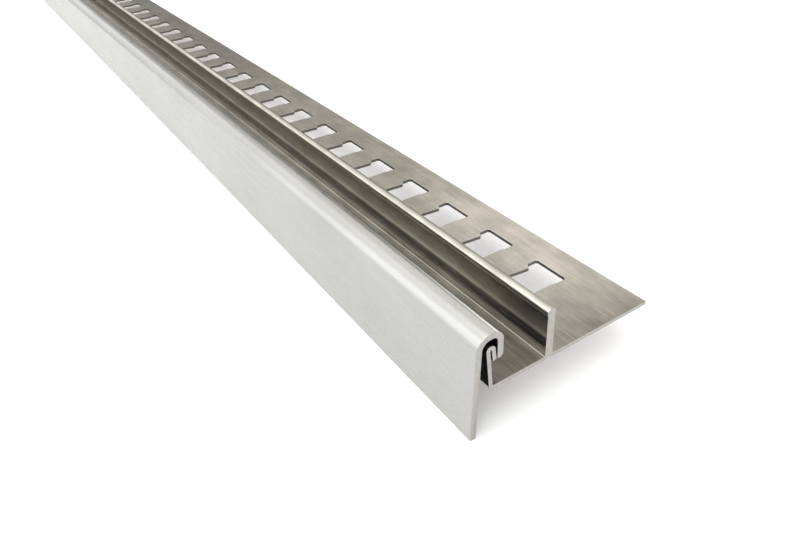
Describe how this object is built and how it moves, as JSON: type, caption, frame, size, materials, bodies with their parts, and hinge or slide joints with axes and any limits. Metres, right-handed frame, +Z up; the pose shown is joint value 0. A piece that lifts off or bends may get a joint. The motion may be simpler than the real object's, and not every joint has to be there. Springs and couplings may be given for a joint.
{
  "type": "u-channel slope profile",
  "caption": "Folded stainless slope profile with a glass channel, a slotted anchoring flange and a clipped-on cover skirt.",
  "frame": {"origin": "centre of the length and of the width, on the floor that the profile lies on", "axes": "+Y along the profile away from the pictured end, +X across from the cover towards the flange's edge, +Z up; the profile lies as it rests unheld, on the skirt's lower edge at the -Y end and on the base's underside at the +Y end, so its length is pitched by 0.67 degrees and its section is upright"},
  "size_m": [0.051, 1.0002, 0.0267],
  "materials": {
    "brushed_stainless_base": "stainless sheet, brushed along its length",
    "brushed_stainless_cover": "stainless sheet with a fine satin grind"
  },
  "bodies": {
    "root": {"base_profile": "brushed_stainless_base", "clip_on_cover": "brushed_stainless_cover"}
  },
  "joints": []
}
